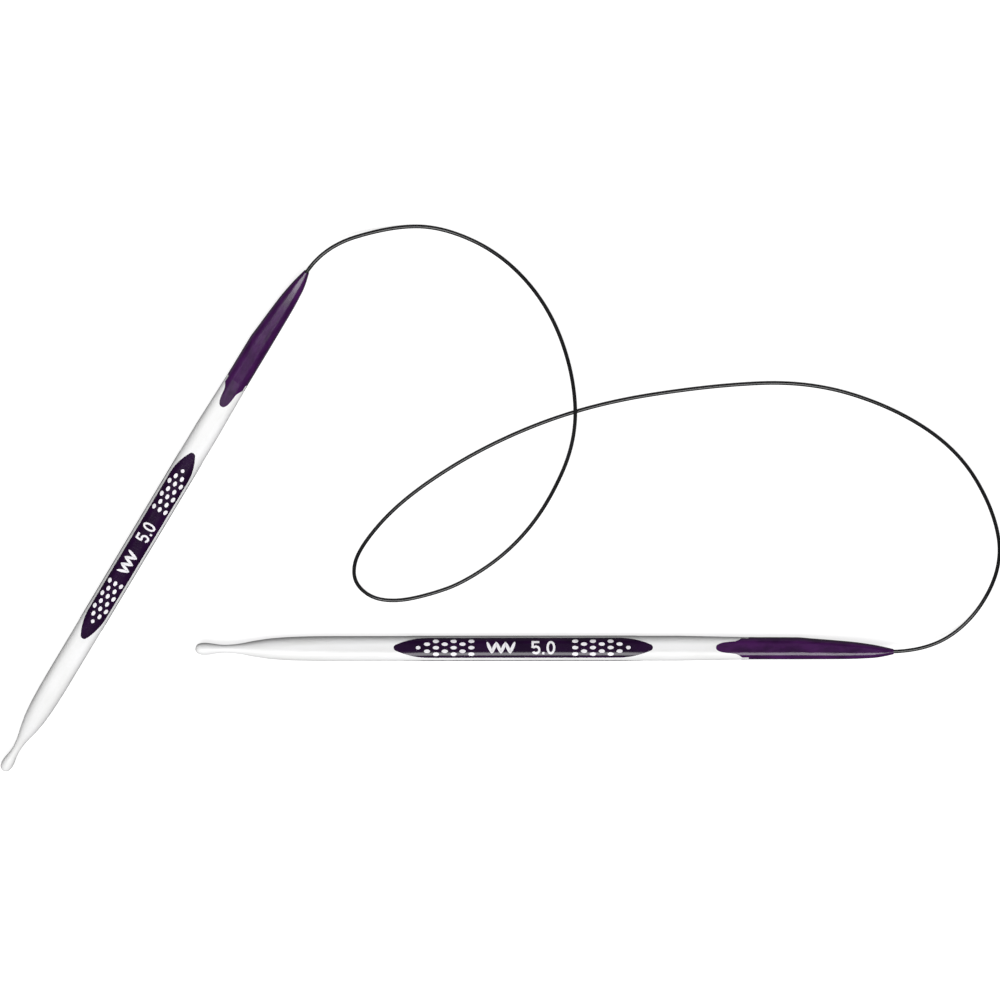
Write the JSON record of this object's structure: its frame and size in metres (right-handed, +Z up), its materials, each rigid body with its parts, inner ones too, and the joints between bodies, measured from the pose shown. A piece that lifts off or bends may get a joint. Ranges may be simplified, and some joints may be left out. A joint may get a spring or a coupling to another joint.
{
  "type": "circular knitting needle",
  "caption": "Fixed circular knitting needle: rounded-triangular tips with inlaid grip panels, swivelling on the ends of a thin flexible cable.",
  "frame": {"origin": "on the resting plane, below the middle of the box of the two needles without the cable", "axes": "+Z up from the resting plane; +X along needle A, from its point to its cable mouth; +Y towards the cable's loop and needle B's cable end"},
  "size_m": [0.1869, 0.1242, 0.0047],
  "materials": {
    "needle_white": "pearl white satin polymer",
    "grip_purple": "very dark purple satin polymer",
    "cone_purple": "dark purple satin polymer",
    "mark_white": "white inlay",
    "join_brass": "turned",
    "cable_grey": "smooth dark grey polymer"
  },
  "bodies": {
    "cable": {"cable": "cable_grey", "cable_end_a": "cable_grey", "cable_end_b": "cable_grey", "cable_head_a": "join_brass", "cable_head_b": "join_brass"},
    "needle_a": {"needle_a_shaft": "needle_white", "needle_a_grip_panel_1": "grip_purple", "needle_a_grip_panel_2": "grip_purple", "needle_a_grip_panel_3": "grip_purple", "needle_a_dots": "mark_white", "needle_a_stitch_mark": "mark_white", "needle_a_size_mark": "mark_white", "needle_a_cone": "cone_purple", "needle_a_join_seat": "join_brass"},
    "needle_b": {"needle_b_shaft": "needle_white", "needle_b_grip_panel_1": "grip_purple", "needle_b_grip_panel_2": "grip_purple", "needle_b_grip_panel_3": "grip_purple", "needle_b_dots": "mark_white", "needle_b_stitch_mark": "mark_white", "needle_b_size_mark": "mark_white", "needle_b_cone": "cone_purple", "needle_b_join_seat": "join_brass"}
  },
  "joints": [
    {"name": "needle_a_swivel", "type": "hinge", "parent": "cable", "child": "needle_a", "pos_m": [0.08375, -0.02913, 0.00302], "axis": [1, 0, 0], "continuous": true},
    {"name": "needle_b_swivel", "type": "hinge", "parent": "cable", "child": "needle_b", "pos_m": [-0.024, 0.05784, 0.00301], "axis": [0.4517, 0.8922, 0], "continuous": true}
  ]
}
